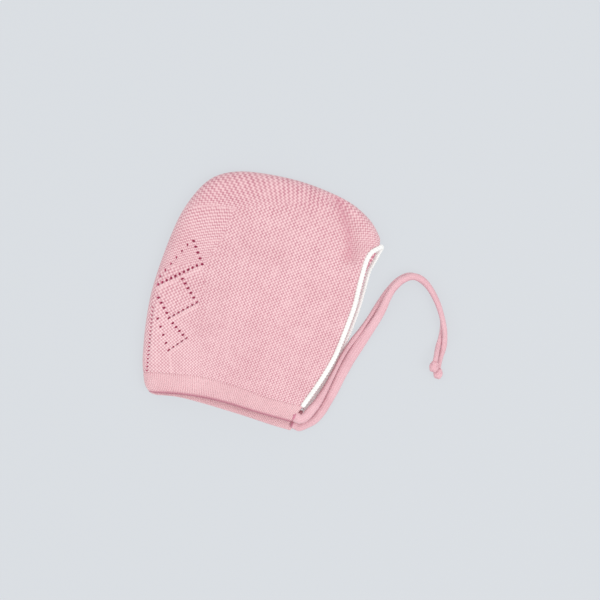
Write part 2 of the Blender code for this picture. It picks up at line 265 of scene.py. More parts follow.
def mossMaterial(groups):
    material, tree, shader = newMaterial("pinkMossKnit")
    setCloth(shader, pinkKnit["sheen"], pinkKnit["tint"])
    form = attribute(tree, "form").outputs["Fac"]
    ridge = calc(tree, "MAXIMUM", form, 0.0)
    crease = calc(tree, "MAXIMUM", times(tree, form, -1.0), 0.0)
    moss = placeGroup(tree, groups["moss"], Stitch=attribute(tree, "stitch").outputs["Vector"]).outputs
    yarn = yarnOver(tree, groups)
    keep = calc(tree, "SUBTRACT", 1.0, times(tree, ridge, pinkKnit["ridgePlain"]), clamp=True)
    uneven = calc(tree, "MULTIPLY_ADD", moss["Own"], pinkKnit["ownPart"], pinkKnit["evenPart"])
    uneven = calc(tree, "MULTIPLY_ADD", yarn["Fluff"], pinkKnit["fluffPart"], uneven)
    # Painted shade in the gaps between the stitches, and a painted highlight on each bead
    gap = times(tree, times(tree, times(tree, moss["Gap"], keep), uneven), pinkKnit["gapShare"], clamp=True)
    colour = mixColour(tree, gap, pinkKnit["ground"], pinkKnit["gap"])
    bead = times(tree, times(tree, moss["Bead"], uneven), pinkKnit["beadShare"])
    colour = mixColour(tree, bead, colour, pinkKnit["bead"])
    colour = mixColour(tree, times(tree, ridge, pinkKnit["ridgeShare"]), colour, pinkKnit["ridge"])
    # Painted shade along the crease
    colour = mixColour(tree, times(tree, crease, pinkKnit["creaseShare"]), colour, pinkKnit["gap"])
    colour = withShade(tree, yarn, colour, pinkKnit["gap"], pinkKnit["shadeShare"])
    height = withFibres(tree, yarn, moss["Relief"])
    finishYarn(tree, shader, colour, height, pinkKnit["depth"], pinkKnit["strength"])
    return material


# The inner faces: a shaded copy of the pink knit, painted darker, with a painted glow; near the face it
# gives way to the plain pink
def insideMaterial(groups):
    material, tree, shader = newMaterial("pinkKnitShadedInside")
    setCloth(shader, pinkKnit["insideSheen"], pinkKnit["tint"])
    shader.inputs["Emission Strength"].default_value = pinkKnit["throughLight"]  # light through the knit
    weave = place(tree, "ShaderNodeTexVoronoi", {
        "Vector": place(tree, "ShaderNodeTexCoord").outputs["Object"], "Scale": pinkKnit["weaveScale"],
    }).outputs["Distance"]
    gap = ramp(tree, weave, *pinkKnit["weaveSpan"])
    mouth = attribute(tree, "form").outputs["Fac"]
    glow = mixColour(tree, mouth, pinkKnit["glow"], pinkKnit["mouthGlow"])
    tree.links.new(glow, shader.inputs["Emission Color"])
    shadedColour = mixColour(tree, gap, pinkKnit["shadedInside"], pinkKnit["shadedInsideGap"])
    mouthColour = mixColour(tree, gap, pinkKnit["ground"], pinkKnit["gap"])
    colour = mixColour(tree, mouth, shadedColour, mouthColour)
    height = calc(tree, "SUBTRACT", yarnOver(tree, groups)["Fluff"], gap)
    finishYarn(tree, shader, colour, height, pinkKnit["insideDepth"], pinkKnit["strength"])
    return material


def stockingMaterial(groups, name, look):
    material, tree, shader = newMaterial(name)
    setCloth(shader, look["sheen"], look["tint"])
    # The emission is a painted glow, standing in for light through the yarn; on the edging it also lifts
    # its shaded far side
    shader.inputs["Emission Color"].default_value = look["glow"]
    shader.inputs["Emission Strength"].default_value = look["glowStrength"]
    seam, hem = (attribute(tree, label).outputs["Fac"] for label in ("seam", "hem"))
    legs = placeGroup(tree, groups["stocking"], Stitch=attribute(tree, "stitch").outputs["Vector"]).outputs
    yarn = yarnOver(tree, groups)
    # Darker between the legs and in the grooves: painted shade in the hollows. The seam mask adds the seam
    # row and, on the band, painted shade; the hem mask adds painted shade, and on the ties the dark row at
    # the root
    between = times(tree, calc(tree, "SUBTRACT", 1.0, legs["Leg"]), look["legs"])
    deep = times(tree, calc(tree, "MAXIMUM", between, legs["Groove"]), look["contrast"])
    onSeam = times(tree, seam, legs["Groove"])
    deep = calc(tree, "MULTIPLY_ADD", onSeam, look["seamShare"], deep, clamp=True)
    deep = calc(tree, "MAXIMUM", deep, times(tree, hem, look["hemShare"]))
    colour = mixColour(tree, deep, look["ground"], look["gap"])
    colour = withShade(tree, yarn, colour, look["gap"], look["shadeShare"])
    height = calc(tree, "SUBTRACT", legs["Leg"], times(tree, legs["Groove"], look["grooveDepth"]))
    finishYarn(tree, shader, colour, withFibres(tree, yarn, height), look["depth"], look["strength"])
    return material


stockingLook = {
    "sheen": 0.25, "tint": (1.0, 0.9, 0.9, 1.0), "depth": 0.0003,
    "seamShare": 0.9, "hemShare": 0.9, "shadeShare": 0.12, "grooveDepth": 0.8,
}
tieLook = {
    **stockingLook, "ground": (0.845, 0.565, 0.605, 1.0), "gap": (0.56, 0.17, 0.27, 1.0),
    "legs": 0.6, "contrast": 0.4, "strength": 0.4, "glow": (1.0, 0.5, 0.6, 1.0), "glowStrength": 0.03,
}
ribLook = {
    **stockingLook, "ground": (0.90, 0.625, 0.65, 1.0), "gap": (0.48, 0.17, 0.24, 1.0),
    "legs": 0.25, "contrast": 0.70, "strength": 0.5, "glow": (1.0, 0.4, 0.5, 1.0), "glowStrength": 0.03,
}
edgingLook = {
    **stockingLook, "ground": (0.88, 0.885, 0.87, 1.0), "gap": (0.46, 0.48, 0.47, 1.0),
    "legs": 0.5, "contrast": 0.15, "strength": 0.4, "sheen": 0.2, "tint": (1.0, 1.0, 1.0, 1.0),
    "glow": (0.96, 1.0, 0.97, 1.0), "glowStrength": 0.13,
}


def buildMaterials():
    groups = {"yarn": buildYarnGroup(), "moss": buildMossGroup(), "stocking": buildStockingGroup()}
    return {
        "moss": mossMaterial(groups),
        "shadedInside": insideMaterial(groups),
        "tie": stockingMaterial(groups, "pinkTieKnit", tieLook),
        "rib": stockingMaterial(groups, "pinkRibKnit", ribLook),
        "edging": stockingMaterial(groups, "whiteEdgingYarn", edgingLook),
    }


# A smooth curve through the points, as many fine steps along each stretch
def smoothCurve(points, steps=24):
    points = np.array(points, float)
    ends = np.vstack([2 * points[0] - points[1], points, 2 * points[-1] - points[-2]])
    curve = []
    for before, start, end, after in zip(ends, ends[1:], ends[2:], ends[3:]):
        for t in np.arange(steps) / steps:
            curve.append(0.5 * (
                2 * start + (end - before) * t
                + (2 * before - 5 * start + 4 * end - after) * t ** 2
                + (3 * start - before - 3 * end + after) * t ** 3
            ))
    return np.array(curve + [points[-1]])


def lengthsAlong(curve):
    return np.concatenate([[0.0], np.cumsum(np.linalg.norm(np.diff(curve, axis=0), axis=1))])


def atShares(curve, shares):
    along = lengthsAlong(curve)
    wanted = np.asarray(shares) * along[-1]
    return np.stack([np.interp(wanted, along, axis) for axis in curve.T], axis=1)


def evenly(curve, step):
    count = max(2, round(lengthsAlong(curve)[-1] / step) + 1)
    return atShares(curve, np.linspace(0, 1, count))


# 1 in the middle, falling away over the width
def bell(distance, width):
    return np.exp(-(distance / width) ** 2)


def unit(vectors):
    return vectors / np.maximum(np.linalg.norm(vectors, axis=-1, keepdims=True), 1e-12)


lowest = 0.00005  # nothing goes below the table


# A piece from its points and faces, with the stitch counts of each corner and masks on the points
def makePiece(name, verts, faces, materials, stitch, masks, faceMaterial=None):
    mesh = bpy.data.meshes.new(name)
    verts = np.array(verts)
    verts[:, 2] = np.maximum(verts[:, 2], lowest)
    mesh.from_pydata([tuple(v) for v in verts], [], [tuple(int(i) for i in f) for f in faces])
    for material in materials:
        mesh.materials.append(material)
    counts = np.zeros((len(mesh.loops), 3), np.float32)
    counts[:, :np.shape(stitch)[1]] = stitch
    mesh.attributes.new("stitch", "FLOAT_VECTOR", "CORNER").data.foreach_set("vector", counts.ravel())
    for label, values in masks.items():
        mask = mesh.attributes.new(label, "FLOAT", "POINT")
        mask.data.foreach_set("value", np.asarray(values, np.float32))
    if faceMaterial is not None:
        mesh.polygons.foreach_set("material_index", np.asarray(faceMaterial, np.int32))
    mesh.shade_smooth()
    mesh.update()
    thing = bpy.data.objects.new(name, mesh)
    bpy.context.collection.objects.link(thing)
    return thing


# A tube round a line, ring by ring. The profile says how far each point reaches sideways and up.
def tubeMesh(line, profile, around):
    tangent = unit(np.gradient(line, axis=0))
    side = unit(np.cross(tangent, (0.0, 0.0, 1.0)))
    up = np.cross(side, tangent)
    angles = np.arange(around) / around * math.tau
    verts = []
    for i, spot in enumerate(line):
        wide, high = profile(i, angles)
        verts.append(spot + wide[:, None] * side[i] + high[:, None] * up[i])
    return np.vstack(verts)


# Faces of a closed tube, with the share of the turn and the ring of each of their corners
def tubeFaces(rings, around):
    faces = []
    for i in range(rings - 1):
        for j in range(around):
            k = (j + 1) % around
            faces.append((i * around + j, i * around + k, (i + 1) * around + k, (i + 1) * around + j))
    last = (rings - 1) * around
    faces += [tuple(range(around))[::-1], tuple(range(last, last + around))]
    turns, ringOf = [], []
    for face in faces:
        columns = [v % around for v in face]
        closes = len(face) == 4 and {0, around - 1} <= set(columns)
        turns += [1.0 if closes and column == 0 else column / around for column in columns]
        ringOf += [v // around for v in face]
    return faces, np.array(turns), np.array(ringOf)


# How full a tube is along its length, with both ends rounded off
def roundedEnds(along, startLength, endLength):
    ends = np.minimum(along / startLength, (along[-1] - along) / endLength)
    return np.sqrt(np.clip(1 - (1 - np.clip(ends, 0.02, 1)) ** 2, 0, 1))


# The ties' routes, from where each leaves the bonnet to its knot
nearRoute = [
    (0.0473, -0.0762, 0.0100), (0.0499, -0.0769, 0.0098), (0.0532, -0.0749, 0.0090),
    (0.0563, -0.0698, 0.0076), (0.0597, -0.0632, 0.0062), (0.0625, -0.0549, 0.0054),
    (0.0648, -0.0463, 0.0051), (0.0669, -0.0381, 0.0051), (0.0692, -0.0295, 0.0049),
    (0.0727, -0.0200, 0.0036), (0.0771, -0.0106, 0.0025), (0.0817, -0.0005, 0.0023),
    (0.0858, 0.0102, 0.0023), (0.0893, 0.0189, 0.0023), (0.0953, 0.0277, 0.0023),
    (0.1034, 0.0316, 0.0023), (0.1144, 0.0272, 0.0023), (0.1233, 0.0168, 0.0023),
    (0.1278, 0.0070, 0.0023), (0.1287, -0.0040, 0.0023), (0.1284, -0.0100, 0.0030),
    (0.1285, -0.0145, 0.0060), (0.1288, -0.0180, 0.0076), (0.1291, -0.0212, 0.0078),
]
farRoute = [
    (0.0484, -0.0818, 0.0023), (0.0508, -0.0822, 0.0023), (0.0550, -0.0794, 0.0023),
    (0.0596, -0.0754, 0.0023), (0.0631, -0.0695, 0.0023), (0.0659, -0.0628, 0.0023),
    (0.0681, -0.0558, 0.0023), (0.0702, -0.0480, 0.0023), (0.0722, -0.0396, 0.0023),
    (0.0747, -0.0311, 0.0023), (0.0780, -0.0223, 0.0024), (0.0815, -0.0135, 0.0030),
    (0.0849, -0.0049, 0.0045), (0.0877, 0.0035, 0.0056), (0.0899, 0.0123, 0.0067),
    (0.0930, 0.0198, 0.0072), (0.0970, 0.0260, 0.0074), (0.1030, 0.0306, 0.0075),
    (0.1097, 0.0301, 0.0075), (0.1160, 0.0257, 0.0075), (0.1223, 0.0182, 0.0075),
    (0.1271, 0.0101, 0.0075), (0.1307, 0.0021, 0.0069), (0.1331, -0.0050, 0.0045),
    (0.1339, -0.0110, 0.0027), (0.1334, -0.0170, 0.0031), (0.1331, -0.0215, 0.0032),
    (0.1332, -0.0250, 0.0032),
]
# Widths and sideways shifts along each tie, as shares of its length. A line is painted shade
# along one side of the tie, next to the other tie and on the inner side of the loop: where it
# starts and ends, its angle round the tie, its spread and its strength.
ties = {
    "tieNear": {
        "route": nearRoute, "node": "tie_near", "knotNode": "knot_near", "knot": "knotNear",
        "diameter": 0.0046, "thickness": 0.0040, "seed": 3,
        "root": (0.0449, -0.0757, 0.0120),
        "widths": [(0, 0.0066), (0.06, 0.0064), (0.12, 0.0054), (0.19, 0.0036), (0.27, 0.0030),
                   (0.42, 0.0033), (0.50, 0.0040), (0.62, 0.0043), (0.75, 0.0038), (0.82, 0.0031),
                   (0.88, 0.0033), (0.94, 0.0034), (1, 0.0031)],
        "shifts": [(0, 0.0005), (0.08, 0.0005), (0.14, 0.0006), (0.2, 0.0004), (0.28, 0.0003),
                   (0.4, -0.0002), (0.5, 0), (0.56, -0.0003), (0.62, -0.0003), (0.68, 0), (0.78, 0),
                   (0.82, 0.0003), (0.86, 0.0011), (0.89, 0.0014), (0.92, 0.0012), (0.95, 0.0009),
                   (0.98, 0.0006), (1, 0.0002)],
        "shadeLines": [(0.03, 0.53, 0, 26, 0.70), (0.80, 1.0, 180, 30, 0.7)],
    },
    "tieFar": {
        "route": farRoute, "node": "tie_far", "knotNode": "knot_far", "knot": "knotFar",
        "diameter": 0.0048, "thickness": 0.0040, "seed": 8,
        "root": (0.0447, -0.0811, 0.0038),
        "widths": [(0, 0.0052), (0.08, 0.0060), (0.16, 0.0066), (0.28, 0.0072), (0.36, 0.0070),
                   (0.44, 0.0060), (0.52, 0.0049), (0.6, 0.0046), (0.70, 0.0043), (0.77, 0.0038),
                   (0.82, 0.0034), (0.87, 0.0035), (0.92, 0.0037), (0.96, 0.0035), (1, 0.0030)],
        "shifts": [(0, 0.0001), (0.08, 0.0003), (0.16, 0.0009), (0.24, 0.0010), (0.36, 0.0006),
                   (0.44, 0.0004), (0.52, 0.0001), (0.55, 0.0004), (0.58, 0.0010), (0.62, 0.0009),
                   (0.66, 0.0003), (0.70, 0), (0.87, 0), (0.90, -0.0005), (0.93, -0.0007),
                   (0.96, -0.0009), (1, -0.0004)],
        "shadeLines": [(0.03, 0.5, 180, 26, 0.85), (0.55, 0.84, 22, 30, 0.5), (0.80, 1.0, 0, 34, 0.75)],
    },
}
tieKnit = {
    "step": 0.00042, "around": 42, "wales": 14, "stitch": 0.00125, "relief": 0.00016,
    "squareness": 0.88, "roundStart": 0.0022, "roundEnd": 0.0006, "rootThinner": 0.001, "rootReach": 0.006,
    "wobbles": 26, "wobble": 0.035, "lineFade": 0.03, "seamAt": 0.0004, "seamWidth": 0.0009,
}


# Height of the tie's own stitches: rounded wales with leaning legs
def stockingRelief(wale, stitch):
    part = np.abs(np.mod(wale, 1.0) - 0.5)
    ridge = np.cos(np.pi * part) ** 0.7
    legs = 0.5 + 0.5 * np.cos(math.tau * (stitch + legSlope * part))
    return ridge * 0.75 + legs * 0.5 - 0.6


def buildTie(name, tie, material):
    line = evenly(smoothCurve([tie["root"], *tie["route"]]), tieKnit["step"])
    side = unit(np.cross(unit(np.gradient(line, axis=0)), (0.0, 0.0, 1.0)))
    share = lengthsAlong(line) / lengthsAlong(line)[-1]
    line = line - side * np.interp(share, *zip(*tie["shifts"]))[:, None]
    along = lengthsAlong(line)
    random = np.random.default_rng(tie["seed"])
    wobblesAt = np.linspace(0, along[-1], tieKnit["wobbles"])
    wobble = np.interp(along, wobblesAt, random.normal(0, tieKnit["wobble"], tieKnit["wobbles"]))
    width = np.interp(along / along[-1], *zip(*tie["widths"]))
    thickness = tie["thickness"] - tieKnit["rootThinner"] * bell(along, tieKnit["rootReach"])
    height = np.minimum(thickness, width * 0.95)
    full = roundedEnds(along, tieKnit["roundStart"], tieKnit["roundEnd"])

    def profile(i, angles):
        relief = stockingRelief(angles / math.tau * tieKnit["wales"], along[i] / tieKnit["stitch"])
        reach = tieKnit["relief"] * relief
        across, up = np.cos(angles), np.sin(angles)
        wide = np.sign(across) * np.abs(across) ** tieKnit["squareness"]
        high = np.sign(up) * np.abs(up) ** tieKnit["squareness"]
        a = width[i] * (1 + wobble[i]) / 2
        b = height[i] * (1 - 0.5 * wobble[i]) / 2
        return (wide * a + across * reach) * full[i], (high * b + up * reach) * full[i]

    around = tieKnit["around"]
    faces, turns, ringOf = tubeFaces(len(line), around)
    stitch = np.column_stack([turns * tieKnit["wales"], along[ringOf] / tieKnit["stitch"]])
    degrees = np.arange(around) / around * 360
    hem = np.repeat(bell(along - tieKnit["seamAt"], tieKnit["seamWidth"])[:, None], around, axis=1)
    # Painted shade along the lines
    for start, end, angle, spread, strength in tie["shadeLines"]:
        apart = np.abs(np.mod(degrees - angle + 180, 360) - 180)
        within = np.clip(np.minimum(share - start, end - share) / tieKnit["lineFade"], 0, 1)
        hem = np.maximum(hem, strength * within[:, None] * bell(apart, spread))
    verts = tubeMesh(line, profile, around)
    piece = makePiece(name, verts, faces, [material], stitch, {"hem": hem.ravel()})
    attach(piece, "root")
    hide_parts(tie["node"])
    return piece, line


knotShape = {
    "radii": (0.0031, 0.0028, 0.0041), "ahead": 0.0031, "round": 72, "along": 48,
    "bands": [(0.85, 0.10, 0.52), (-0.70, 0.15, 0.70), (0.05, -0.45, 0.89)], "bandWidth": 0.40,
    "core": 0.86, "wales": 16, "stitchTurn": 2.4, "relief": 0.0001, "between": 0.5, "under": 0.7,
}


# An overhand knot drawn tight: a ball of strands that cross each other
def buildKnot(tie, line, material):
    heading = unit(line[-1] - line[-8])
    side = unit(np.cross(heading, (0, 0, 1)))
    up = np.cross(side, heading)
    centre = line[-1] + heading * knotShape["ahead"]
    around, rings = knotShape["round"], knotShape["along"]
    turn = np.arange(around) / around * math.tau
    slope = (np.arange(rings) + 0.5) / rings * math.pi
    crossings = [unit(np.array(b)) for b in knotShape["bands"]]
    verts, knotShade = [], []
    for angle in slope:
        out = np.column_stack([
            np.sin(angle) * np.cos(turn), np.sin(angle) * np.sin(turn), np.full(around, -np.cos(angle)),
        ])
        strands = [np.exp(-(out @ across / knotShape["bandWidth"]) ** 4) for across in crossings]
        strand = np.max(strands, axis=0)
        texture = stockingRelief(turn / math.tau * knotShape["wales"], angle * knotShape["stitchTurn"])
        reach = knotShape["core"] + (1 - knotShape["core"]) * strand
        spots = out * knotShape["radii"] * reach[:, None] + out * (texture * knotShape["relief"])[:, None]
        verts.append(centre + spots[:, :1] * side + spots[:, 1:2] * up + spots[:, 2:] * heading)
        # Painted shade in the valleys between the strands and over the ball's lower side
        under = np.clip((0.3 - out[:, 1]) / 0.4, 0, 1)
        knotShade.append(np.maximum(knotShape["between"] * (1 - strand), knotShape["under"] * under))
    faces, turns, ringOf = tubeFaces(rings, around)
    stitch = np.column_stack([turns * knotShape["wales"], slope[ringOf] * knotShape["stitchTurn"]])
    masks = {"hem": np.concatenate(knotShade)}
    piece = makePiece(tie["knot"], np.vstack(verts), faces, [material], stitch, masks)
    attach(piece, "root")
    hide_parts(tie["knotNode"])
    return piece


def buildTies(material):
    for name, tie in ties.items():
        piece, line = buildTie(name, tie, material)
        knot = buildKnot(tie, line, material)


# The hood's form, in metres
hoodForm = {
    "depth": 0.1425, "height": 0.157, "wall": 0.0022,
    "rim": 0.0115, "belly": 0.0215, "fold": 0.0055,
    "creaseDepth": 0.0046, "creaseWidth": 0.006,
    "bellyCentre": (0.02, -0.01), "bellySpread": (0.31, 0.31),
    "reachUpper": 0.0092, "reachLower": 0.00715,
}
# Outlines as shares of the hood's depth and height
foldLine = [
    (0.545, 0.297), (0.533, 0.335), (0.467, 0.399), (0.346, 0.454), (0.138, 0.490),
    (-0.077, 0.490), (-0.213, 0.464), (-0.303, 0.406), (-0.373, 0.289), (-0.412, 0.153),
    (-0.443, -0.060), (-0.442, -0.214), (-0.423, -0.366), (-0.406, -0.431),
]
napeLine = [(-0.406, -0.431), (-0.393, -0.466), (-0.380, -0.488), (-0.357, -0.507)]
edges = {
    "upper": {
        "face": [
            (0.545, 0.297), (0.507, 0.271), (0.489, 0.232), (0.482, 0.178), (0.478, 0.096),
            (0.474, 0.011), (0.447, -0.147), (0.428, -0.221), (0.392, -0.313), (0.336, -0.431),
        ],
        "seam": [
            (0.336, -0.431), (0.294, -0.431), (0.175, -0.427), (0.034, -0.408),
            (-0.136, -0.399), (-0.302, -0.415), (-0.406, -0.431),
        ],
        "hem": [
            (0.312, -0.503), (0.139, -0.493), (-0.033, -0.480), (-0.201, -0.485),
            (-0.340, -0.504), (-0.357, -0.507),
        ],
    },
    "lower": {
        "face": [
            (0.545, 0.297), (0.530, 0.237), (0.512, 0.182), (0.506, 0.096), (0.497, 0.001),
            (0.469, -0.155), (0.452, -0.215), (0.415, -0.319), (0.343, -0.456),
        ],
        "seam": [
            (0.343, -0.456), (0.232, -0.455), (0.112, -0.443), (-0.004, -0.434),
            (-0.119, -0.426), (-0.232, -0.422), (-0.323, -0.427), (-0.406, -0.431),
        ],
        "hem": [
            (0.319, -0.540), (0.229, -0.534), (0.113, -0.522), (-0.004, -0.512),
            (-0.119, -0.504), (-0.233, -0.501), (-0.338, -0.512), (-0.357, -0.507),
        ],
    },
}
creaseLine = [(0.312, 0.447), (0.370, 0.360), (0.410, 0.273), (0.417, 0.222)]
eyelets = {"upperSize": 1.1, "lowerSize": 0.7, "points": 8, "clear": 0.00095}
# Rows of eyelets: both ends, how many, each hole's length and width in metres and its own turn
diamondRuns = [
    ((-0.301, 0.152), (-0.239, 0.064), 5, 0.0021, 0.0015, 2),
    ((-0.325, 0.131), (-0.419, -0.022), 6, 0.0018, 0.0010, 100),
    ((-0.262, 0.054), (-0.420, -0.057), 10, 0.0019, 0.0016, 75),
    ((-0.316, -0.013), (-0.245, -0.080), 5, 0.0023, 0.0013, 32),
    ((-0.227, -0.097), (-0.338, -0.184), 7, 0.0024, 0.0011, 50),
    ((-0.406, -0.111), (-0.353, -0.166), 4, 0.0021, 0.0015, 20),
    ((-0.316, -0.203), (-0.259, -0.242), 4, 0.0020, 0.0014, 42),
    ((-0.241, -0.254), (-0.309, -0.317), 5, 0.0023, 0.0010, 52),
    ((-0.389, -0.197), (-0.328, -0.290), 4, 0.0020, 0.0012, 45),
]
backRun = ((-0.423, -0.155), (-0.389, -0.420), 17, 0.0015, 0.0008, 12)
# Raised plain lines: both ends and their strength
ridgeLines = [
    ((-0.240, 0.046), (-0.416, -0.074), 1.0), ((-0.219, -0.110), (-0.330, -0.199), 0.9),
    ((-0.236, -0.266), (-0.303, -0.330), 0.6), ((-0.306, -0.322), (-0.276, -0.404), 0.8),
]
lineWidths = {"ridge": 0.0007, "mitre": 0.0009, "crease": 0.0030}


# How far from the fold the cloth has turned level
def reachOf(upper):
    return hoodForm["reachUpper" if upper else "reachLower"]


def inMetres(table):
    return np.array(table, float) * (hoodForm["depth"], hoodForm["height"])


def planCurve(table):
    return smoothCurve(inMetres(table))


# Distance, foot and piece of a line of points nearest to each point
def nearestOn(plan, line):
    start, run = line[:-1], line[1:] - line[:-1]
    lengths = np.maximum((run * run).sum(1), 1e-16)
    distance, foot, piece = np.empty(len(plan)), np.empty((len(plan), 2)), np.empty(len(plan), int)
    for i in range(0, len(plan), 4000):
        part = plan[i:i + 4000]
        offset = part[:, None, :] - start[None]
        share = np.clip((offset * run).sum(2) / lengths, 0, 1)
        spots = start[None] + share[..., None] * run
        gaps = np.linalg.norm(part[:, None, :] - spots, axis=2)
        best = gaps.argmin(1)
        distance[i:i + 4000] = gaps[np.arange(len(part)), best]
        foot[i:i + 4000] = spots[np.arange(len(part)), best]
        piece[i:i + 4000] = best
    return distance, foot, piece


def insideOf(points, polygon):
    within = np.zeros(len(points), bool)
    x, y = points[:, 0], points[:, 1]
    for (x0, y0), (x1, y1) in zip(polygon, np.roll(polygon, -1, axis=0)):
        if y0 != y1:
            crosses = (y0 > y) != (y1 > y)
            within ^= crosses & (x < (x1 - x0) * (y - y0) / (y1 - y0) + x0)
    return within


wholeFold = planCurve(foldLine + napeLine[1:])[::4]
foldInward = unit(np.diff(wholeFold, axis=0))[:, ::-1] * (-1, 1)
creaseCurve = planCurve(creaseLine)[::4]


# Height of the upper layer away from the fold
def fullHeight(plan):
    centre, spread = inMetres([hoodForm["bellyCentre"], hoodForm["bellySpread"]])
    swell = np.exp(-(((plan - centre) / spread) ** 2).sum(axis=1))
    dip = hoodForm["creaseDepth"] * bell(nearestOn(plan, creaseCurve)[0], hoodForm["creaseWidth"])
    return hoodForm["rim"] + (hoodForm["belly"] - hoodForm["rim"]) * swell - dip


# The cloth goes on past the fold's outline as the layer turns down: its own distance from the
# fold gives the angle round the turn, 0 on the fold and a quarter turn at the reach
clothTurn = {"extra": 0.35, "first": 1.792, "second": -0.221}


def angleAt(clothDistance, reach):
    t = np.clip((clothDistance / reach + clothTurn["extra"]) / (1 + clothTurn["extra"]), 0, 1)
    return np.minimum(clothTurn["first"] * t + clothTurn["second"] * t * t, math.pi / 2)


def clothDistanceAt(planDistance, reach):
    angle = np.arccos(1 - np.clip(planDistance / reach, 0, 1))
    a, c = clothTurn["first"], -clothTurn["second"]
    t = (a - np.sqrt(np.maximum(a * a - 4 * c * angle, 0))) / (2 * c)
    cloth = reach * ((1 + clothTurn["extra"]) * t - clothTurn["extra"])
    return np.where(planDistance >= reach, planDistance, cloth)


# From the flat cloth to the surface in space
def clothToSurface(cloth, planOutline, upper):
    reach = reachOf(upper)
    distance, foot, piece = nearestOn(cloth, wholeFold)
    inner = insideOf(cloth, planOutline)
    toward = unit(cloth - foot) * np.where(inner, 1, -1)[:, None]
    toward = np.where(distance[:, None] > 0.0001, toward, foldInward[piece])
    signed = distance * np.where(inner, 1, -1)
    angle = angleAt(signed, reach)
    planDistance = np.where(signed >= reach, signed, reach * (1 - np.cos(angle)))
    plan = foot + toward * planDistance[:, None]
    angle = np.where(signed >= reach, math.pi / 2, angle)
    return np.column_stack([plan, heightAt(plan, angle, upper)])


def heightAt(plan, angle, upper):
    fold = hoodForm["fold"]
    if upper:
        return fold + (fullHeight(plan) - fold) * np.sin(angle)
    return fold * (1 - np.sin(angle))


# From a point of the plan to the flat cloth
def planToCloth(plan, upper):
    distance, foot, _ = nearestOn(plan, wholeFold)
    toward = unit(plan - foot)
    return foot + toward * clothDistanceAt(distance, reachOf(upper))[:, None]


def layerPoints(plan, upper):
    distance = nearestOn(plan, wholeFold)[0]
    angle = np.arccos(1 - np.clip(distance / reachOf(upper), 0, 1))
    return np.column_stack([plan, heightAt(plan, angle, upper)])


# The stitches: heights and steps in metres
stitches = {
    "bead": 0.00022, "moss": 0.00012, "ridge": 0.0003, "border": 0.0001,
    "edgeStep": 0.0008, "wallStep": 0.0032, "fineClear": 0.00042, "wallClear": 0.0014,
    "borderGap": 0.00034, "margin": 0.002, "mouth": 0.008,
}
# The mitre on the crown, where two patches meet
mitre = [(-0.0570, 0.0443), (-0.0440, 0.0470), (-0.0324, 0.0496), (-0.0212, 0.0501)]
# Each patch of knitting has its own direction: the angle of its rows at its own middle, and how
# fast they turn, in degrees a metre forward and up. The body is what the others leave.
patches = [
    {"name": "body", "middle": (0.0, 0.0), "angle": 39.0, "fan": -100.0, "tilt": 8.0,
     "pitch": 0.00161, "stretch": 1.03, "skew": (0.046, 0.046), "outline": None},
    {"name": "crownArc", "middle": (-0.0395, 0.0590), "angle": 100.0, "fan": -750.0, "tilt": -160.0,
     "pitch": 0.00162, "stretch": 1.3, "skew": (0.0, 0.22),
     "outline": [(-0.070, 0.041), *mitre, (-0.0109, 0.0535), (0.0051, 0.0583), (0.0211, 0.0624),
                 (0.0340, 0.0651), (0.0490, 0.0750), (0.040, 0.095), (-0.080, 0.090)]},
    {"name": "crownSide", "middle": (-0.0380, 0.0357), "angle": 110.0, "fan": -600.0, "tilt": -120.0,
     "pitch": 0.00193, "stretch": 0.77, "skew": (0.0, -0.2),
     "outline": [(-0.090, 0.036), (-0.070, 0.041), *mitre, (-0.0249, 0.0284), (-0.0338, 0.0097),
                 (-0.0426, 0.0098), (-0.0655, -0.0020), (-0.090, -0.0020)]},
    {"name": "crownFront", "middle": (0.0610, 0.0533), "angle": 21.0, "fan": -1050.0, "tilt": -230.0,
     "pitch": 0.00152, "stretch": 1.1, "skew": (0.0, 0.1),
     "outline": [(0.0440, 0.0720), (0.0503, 0.0611), (0.0558, 0.0512), (0.0600, 0.0402),
                 (0.0627, 0.0307), (0.0660, 0.0335), (0.0705, 0.0427), (0.0840, 0.0500),
                 (0.0860, 0.0620), (0.0700, 0.0800), (0.0500, 0.0800)]},
    {"name": "nape", "middle": (-0.0475, -0.0301), "angle": 46.0, "fan": -156.0, "tilt": -371.0,
     "pitch": 0.00172, "stretch": 1.03, "skew": (0.03, 0.03),
     "outline": [(-0.0655, -0.0020), (-0.0426, 0.0098), (-0.0338, 0.0097), (-0.0278, -0.0071),
                 (-0.0264, -0.0240), (-0.0246, -0.0415), (-0.0195, -0.0611), (-0.0200, -0.0900),
                 (-0.0900, -0.0900), (-0.0900, -0.0020)]},
]
# The lean starts above an edge that slopes up toward the face, and is less at the nape
crownLean = {
    "edge": 0.0501, "slope": 0.15, "corner": -0.0212, "soft": 0.005, "plain": 0.10, "bold": 0.145,
    "nape": (-0.045, -0.055), "napeReach": 0.028, "napeLess": 0.05,
}
mitreLine = [(-0.0640, 0.0425), *mitre]


def patchTerms(patch):
    bend = -math.radians(patch["tilt"]) - 1j * math.radians(patch["fan"])
    first = cmath.exp(-1j * math.radians(patch["angle"])) / patch["pitch"]
    a, b = patch["skew"]
    return bend, first, np.array([[1.0, a], [b, 1 / patch["stretch"]]])


# How strongly the stitches lean into slanting lines: more over the crown
def leanAt(cloth):
    above = cloth[:, 1] - crownLean["edge"] - crownLean["slope"] * (cloth[:, 0] - crownLean["corner"])
    share = np.clip((above + crownLean["soft"]) / (3 * crownLean["soft"]), 0, 1)
    nape = np.exp(-(((cloth - crownLean["nape"]) / crownLean["napeReach"]) ** 2).sum(1))
    bolder = (crownLean["bold"] - crownLean["plain"]) * share * share * (3 - 2 * share)
    return crownLean["plain"] + bolder - crownLean["napeLess"] * nape


